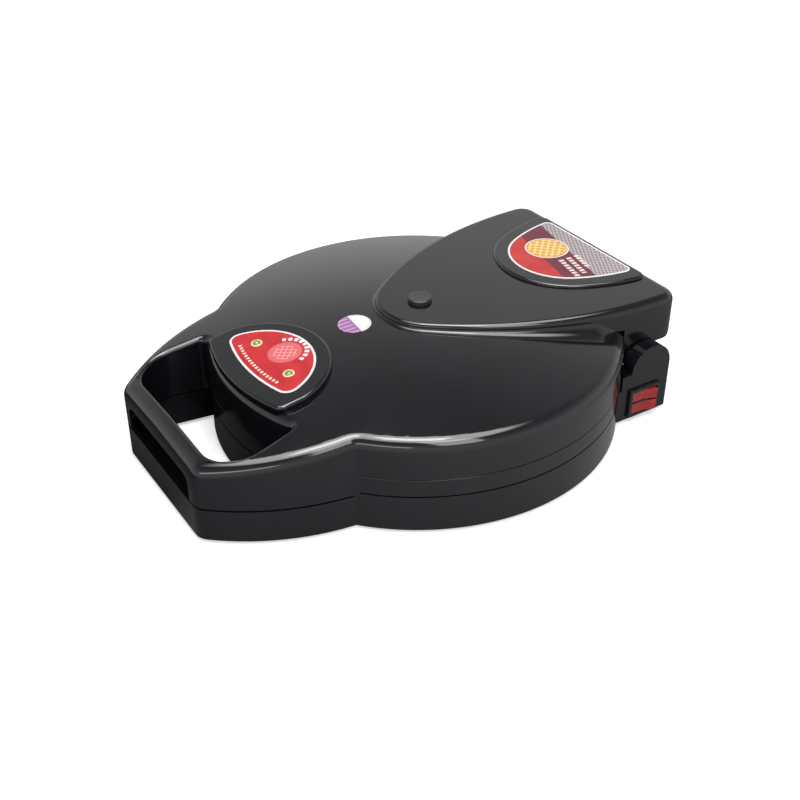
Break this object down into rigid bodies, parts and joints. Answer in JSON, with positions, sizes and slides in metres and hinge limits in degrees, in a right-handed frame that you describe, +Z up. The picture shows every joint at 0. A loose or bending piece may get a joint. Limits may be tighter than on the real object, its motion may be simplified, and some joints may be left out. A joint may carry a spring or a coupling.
{
  "type": "waffle cone maker",
  "caption": "Round electric waffle cone iron with a domed lid, loop handle, rear hinge under a raised bridge, two coated baking plates, indicator lamps and a double rocker switch.",
  "frame": {"origin": "on the surface that the feet rest on, below the middle of the outline", "axes": "+Z up, handle towards -Y, hinge towards +Y, switch on the +X side"},
  "size_m": [0.33, 0.411, 0.1016],
  "materials": {
    "black_plastic": "glossy injection-moulded black plastic with fine wipe marks",
    "dark_plastic": "fine satin texture",
    "plug_plastic": "satin gloss",
    "foot_rubber": "matt",
    "screw_steel": "zinc plated",
    "pin_steel": "ground",
    "bracket_steel": "zinc plated sheet",
    "shield_steel": "mill finish sheet",
    "heater_tube": "heat-tinted stainless tube",
    "baking_plate": "non-stick coated cast aluminium",
    "bush_brass": "turned",
    "ceramic": "unglazed ceramic",
    "terminal_plastic": "satin",
    "wire_sleeve": "woven glass sleeve",
    "switch_plastic": "satin gloss",
    "rocker_red": "translucent red, glossy",
    "board_green": "solder mask",
    "lamp_green": "translucent green lens",
    "front_label_print": "printed gloss film",
    "rear_label_print": "printed gloss film",
    "sticker_print": "printed gloss paper"
  },
  "bodies": {
    "base": {"base_shell": "black_plastic", "base_cover": "dark_plastic", "rubber_feet": "foot_rubber", "cover_screws": "screw_steel", "lower_plate": "baking_plate", "lower_heater": "heater_tube", "lower_heat_shield": "shield_steel", "lower_plate_screws": "screw_steel", "lower_thermostat": "ceramic", "lower_thermal_fuse": "shield_steel", "terminal_block": "terminal_plastic", "lower_wiring": "wire_sleeve", "switch_housing": "switch_plastic", "cord_gland": "foot_rubber", "left_hinge_bush": "bush_brass", "right_hinge_bush": "bush_brass"},
    "lid": {"lid_shell": "black_plastic", "lid_ring": "black_plastic", "ring_screws": "screw_steel", "bridge_shell": "black_plastic", "hinge_bracket": "bracket_steel", "bracket_screws": "screw_steel", "bridge_screw": "screw_steel", "screw_plug": "plug_plastic", "upper_plate": "baking_plate", "upper_heater": "heater_tube", "upper_heat_shield": "shield_steel", "upper_plate_screws": "screw_steel", "upper_thermostat": "ceramic", "upper_thermal_fuse": "shield_steel", "upper_wiring": "wire_sleeve", "indicator_pad": "black_plastic", "lamp_board": "board_green", "left_lamp": "lamp_green", "right_lamp": "lamp_green", "front_label": "front_label_print", "rear_label_pad": "black_plastic", "rear_label": "rear_label_print", "round_sticker": "sticker_print", "left_hinge_pin": "pin_steel", "right_hinge_pin": "pin_steel"},
    "upper_rocker": {"upper_rocker": "rocker_red"},
    "lower_rocker": {"lower_rocker": "rocker_red"}
  },
  "joints": [
    {"name": "lid_hinge", "type": "hinge", "parent": "base", "child": "lid", "pos_m": [0, 0.1705, 0.045], "axis": [-1, 0, 0], "range_deg": [0, 95]},
    {"name": "upper_rocker_joint", "type": "hinge", "parent": "base", "child": "upper_rocker", "pos_m": [0.111, 0.165, 0.0228], "axis": [0, 0, 1], "range_deg": [0, 20]},
    {"name": "lower_rocker_joint", "type": "hinge", "parent": "base", "child": "lower_rocker", "pos_m": [0.111, 0.165, 0.0122], "axis": [0, 0, 1], "range_deg": [0, 20]}
  ]
}
